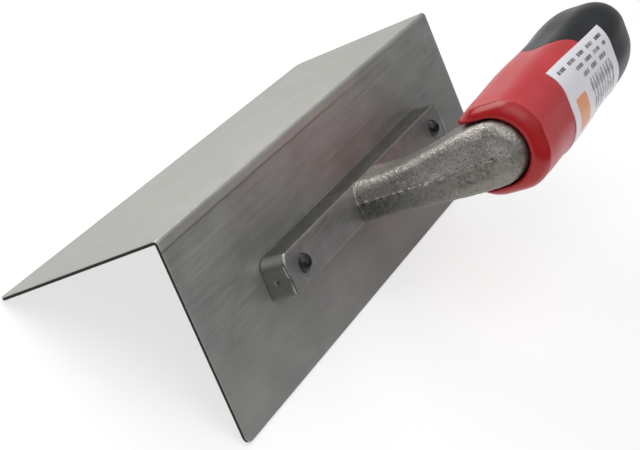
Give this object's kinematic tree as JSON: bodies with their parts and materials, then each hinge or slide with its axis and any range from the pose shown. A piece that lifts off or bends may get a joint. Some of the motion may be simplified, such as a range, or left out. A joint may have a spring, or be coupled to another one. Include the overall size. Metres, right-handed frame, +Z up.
{
  "type": "corner trowel",
  "caption": "Corner trowel: a folded steel blade, a cast aluminium mount riveted to one wing, and a two-colour soft-grip handle that reaches past the blade's end.",
  "frame": {"origin": "middle of the tool's bounding box, on the surface that the free edges of both wings stand on", "axes": "+X along the fold from the front of the blade towards the end of the handle, +Y from the wing with the handle towards the free wing, +Z up, away from the surface that the tool stands on"},
  "size_m": [0.2258, 0.1063, 0.0722],
  "materials": {
    "blade_steel": "ground and lightly brushed, satin",
    "cast_aluminium": "as cast with a ground foot",
    "rivet_steel": "dark, semi-gloss",
    "core_plastic": "plain moulded",
    "grip_red": "smooth soft grip, satin",
    "grip_black": "smooth soft grip, satin",
    "label_vinyl": "satin vinyl sticker"
  },
  "bodies": {
    "root": {"blade": "blade_steel", "mount_casting": "cast_aluminium", "front_rivet": "rivet_steel", "rear_rivet": "rivet_steel", "handle_core": "core_plastic", "front_grip": "grip_red", "rear_grip": "grip_black", "label": "label_vinyl"}
  },
  "joints": []
}
